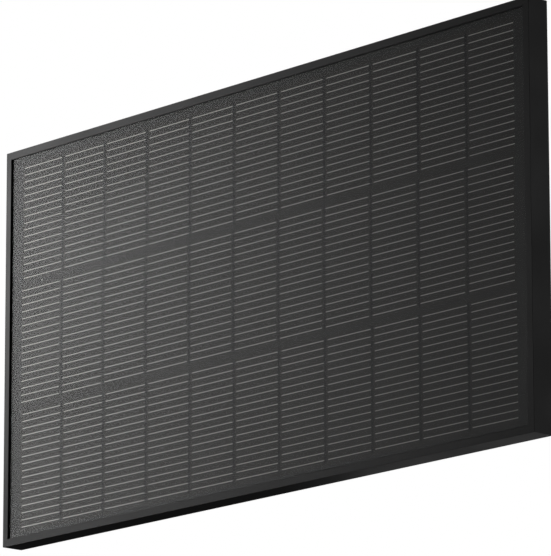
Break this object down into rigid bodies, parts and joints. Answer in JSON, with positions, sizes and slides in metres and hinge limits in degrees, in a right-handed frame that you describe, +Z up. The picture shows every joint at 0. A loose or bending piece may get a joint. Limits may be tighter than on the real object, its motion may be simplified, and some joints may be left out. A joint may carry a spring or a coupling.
{
  "type": "framed solar panel",
  "caption": "Rigid all-black solar panel: glass laminate of half-cut cells in a mitred aluminium frame, with a hinged-lid junction box on the back.",
  "frame": {"origin": "centre of the rear mounting plane, which is also the centre of the four mounting slots", "axes": "+X along the long side, to the right as seen from the glass side; +Y out of the back, away from the glass; +Z up, the panel standing upright on its long side"},
  "size_m": [1.085, 0.035, 0.587],
  "materials": {
    "frame_black": "black anodised, satin",
    "key_metal": "mill finish",
    "sealant": "matt",
    "front_glass": "toughened, anti-glare, matt sheen",
    "encapsulant": "clear",
    "rear_encapsulant": "black, smooth",
    "cell": "dark, anti-reflective",
    "ribbon": "tinned",
    "dark_film": "matt",
    "bus_metal": "tinned",
    "insulation": "matt",
    "backsheet": "fine satin grain",
    "label": "satin",
    "box_plastic": "fine moulded grain",
    "pad": "matt",
    "seal_rubber": "matt",
    "pin_steel": "ground",
    "contact_brass": "tinned in part",
    "screw_steel": "zinc plated",
    "diode": "moulded",
    "gland_plastic": "satin"
  },
  "bodies": {
    "panel": {"backsheet": "backsheet", "blank_label": "label", "bypass_diode_lower": "diode", "bypass_diode_upper": "diode", "cell_string_bottom": "cell", "cell_string_middle": "cell", "cell_string_top": "cell", "column_gap_films": "dark_film", "contact_plate_middle": "contact_brass", "contact_plate_positive": "contact_brass", "contact_plate_return": "contact_brass", "corner_key_bottom_left": "key_metal", "corner_key_bottom_right": "key_metal", "corner_key_top_left": "key_metal", "corner_key_top_right": "key_metal", "cross_bus_left": "bus_metal", "cross_bus_right": "bus_metal", "end_masks": "dark_film", "frame_rail_bottom": "frame_black", "frame_rail_left": "frame_black", "frame_rail_right": "frame_black", "frame_rail_top": "frame_black", "front_encapsulant": "encapsulant", "front_glass": "front_glass", "gland_body_left": "gland_plastic", "gland_body_right": "gland_plastic", "gland_cap_left": "gland_plastic", "gland_cap_right": "gland_plastic", "gland_locknut_left": "gland_plastic", "gland_locknut_right": "gland_plastic", "gland_seal_left": "seal_rubber", "gland_seal_right": "seal_rubber", "glazing_sealant": "sealant", "hinge_pin": "pin_steel", "junction_box_base": "box_plastic", "junction_box_pad": "pad", "lead_insulation": "insulation", "lead_middle": "bus_metal", "lead_positive": "bus_metal", "lead_return": "bus_metal", "negative_end_bus": "bus_metal", "positive_end_bus": "bus_metal", "rear_encapsulant": "rear_encapsulant", "ribbons_bottom": "ribbon", "ribbons_middle": "ribbon", "ribbons_top": "ribbon", "terminal_carrier": "box_plastic", "terminal_screws": "screw_steel"},
    "lid": {"junction_box_lid": "box_plastic", "lid_seal": "seal_rubber"}
  },
  "joints": [
    {"name": "lid_hinge", "type": "hinge", "parent": "panel", "child": "lid", "pos_m": [-0.43, -0.0092, 0.1218], "axis": [1, 0, 0], "range_deg": [0, 110]}
  ]
}
